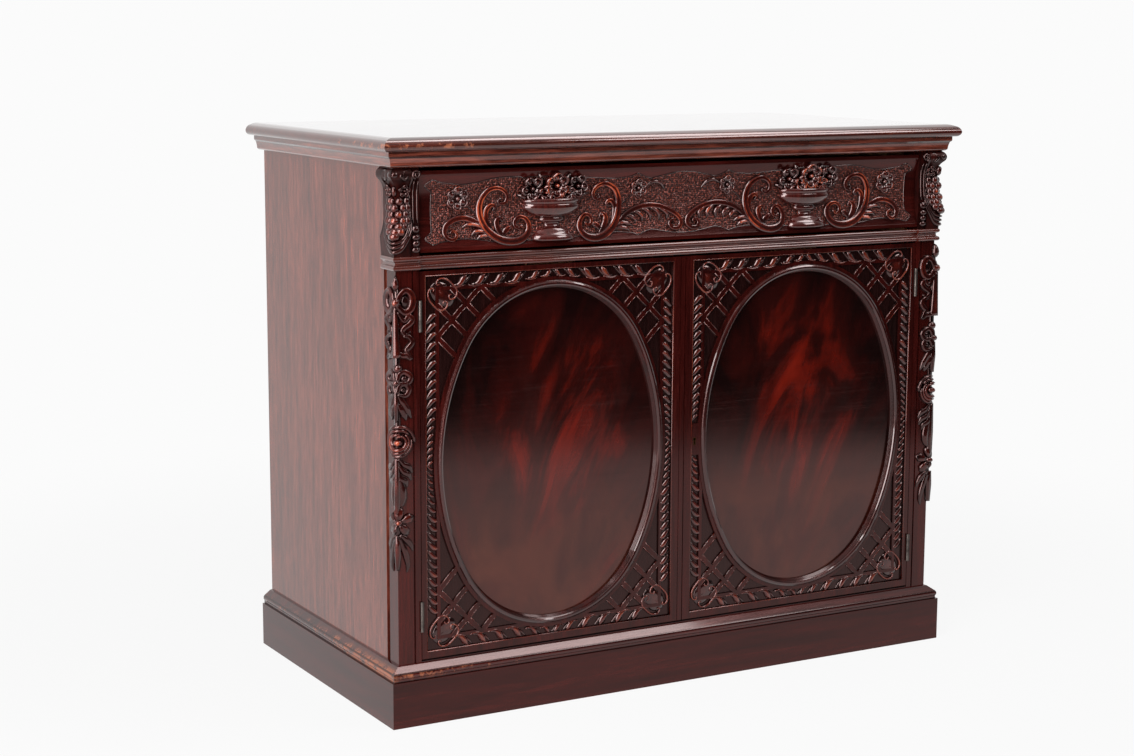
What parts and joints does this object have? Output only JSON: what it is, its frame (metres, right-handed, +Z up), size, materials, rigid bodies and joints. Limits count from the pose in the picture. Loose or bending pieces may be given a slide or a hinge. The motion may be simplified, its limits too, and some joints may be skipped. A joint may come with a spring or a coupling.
{
  "type": "chiffonier",
  "caption": "Mahogany chiffonier with a hollow carved frieze drawer above cupboard doors with oval panels, carved corner posts and a plinth.",
  "frame": {"origin": "on the floor under the middle of the top", "axes": "+X to the right across the width, +Y to the back, +Z up; the doors face -Y"},
  "size_m": [1.133, 0.587, 0.95],
  "materials": {
    "mahogany": "french polished",
    "figured_mahogany": "french polished",
    "inner_wood": "plain",
    "brass": "aged",
    "steel": "dull"
  },
  "bodies": {
    "carcase": {"back_boards": "inner_wood", "bottom_board": "inner_wood", "corbel_left": "mahogany", "corbel_right": "mahogany", "corner_post_left": "mahogany", "corner_post_right": "mahogany", "cornice_front": "mahogany", "cornice_left": "mahogany", "cornice_right": "mahogany", "door_stops": "inner_wood", "drawer_guides": "inner_wood", "drawer_kickers": "inner_wood", "drawer_stops": "inner_wood", "dust_board": "inner_wood", "festoon_left": "mahogany", "festoon_right": "mahogany", "hinge_pins": "steel", "hinge_post_leaves": "steel", "plinth_back": "inner_wood", "plinth_corner_blocks": "inner_wood", "plinth_front": "mahogany", "plinth_left": "mahogany", "plinth_moulding_front": "mahogany", "plinth_moulding_left": "mahogany", "plinth_moulding_right": "mahogany", "plinth_right": "mahogany", "shelf": "inner_wood", "shelf_bearers": "inner_wood", "side_panel_left": "mahogany", "side_panel_right": "mahogany", "top_board": "mahogany", "top_edge_front": "mahogany", "top_edge_left": "mahogany", "top_edge_right": "mahogany", "top_rail": "inner_wood", "waist_block_left": "mahogany", "waist_block_right": "mahogany", "waist_rail": "mahogany"},
    "door_left": {"door_left_frame": "mahogany", "door_left_oval_moulding": "mahogany", "door_left_panel": "figured_mahogany", "hinge_door_leaves_left": "steel", "bolt_plates": "brass", "lock_keep": "brass"},
    "door_right": {"door_right_frame": "mahogany", "door_right_oval_moulding": "mahogany", "door_right_panel": "figured_mahogany", "hinge_door_leaves_right": "steel", "lock_case": "brass", "keyhole_escutcheon": "brass"},
    "drawer": {"drawer_front": "mahogany", "drawer_side_left": "inner_wood", "drawer_side_right": "inner_wood", "drawer_back": "inner_wood", "drawer_bottom": "inner_wood", "urn_left": "mahogany", "urn_right": "mahogany"},
    "top_bolt": {"top_bolt": "steel"},
    "bottom_bolt": {"bottom_bolt": "steel"},
    "lock_bolt": {"lock_bolt": "steel"}
  },
  "joints": [
    {"name": "door_left_swing", "type": "hinge", "parent": "carcase", "child": "door_left", "pos_m": [-0.4944, -0.265, 0.421], "axis": [0, 0, -1], "range_deg": [0, 110]},
    {"name": "door_right_swing", "type": "hinge", "parent": "carcase", "child": "door_right", "pos_m": [0.4944, -0.265, 0.421], "axis": [0, 0, 1], "range_deg": [0, 110]},
    {"name": "drawer_slide", "type": "slide", "parent": "carcase", "child": "drawer", "axis": [0, -1, 0], "range_m": [0, 0.36]},
    {"name": "lock_bolt_slide", "type": "slide", "parent": "door_right", "child": "lock_bolt", "axis": [-1, 0, 0], "range_m": [0, 0.012]},
    {"name": "top_bolt_slide", "type": "slide", "parent": "door_left", "child": "top_bolt", "axis": [0, 0, 1], "range_m": [0, 0.012]},
    {"name": "bottom_bolt_slide", "type": "slide", "parent": "door_left", "child": "bottom_bolt", "axis": [0, 0, -1], "range_m": [0, 0.012]}
  ]
}
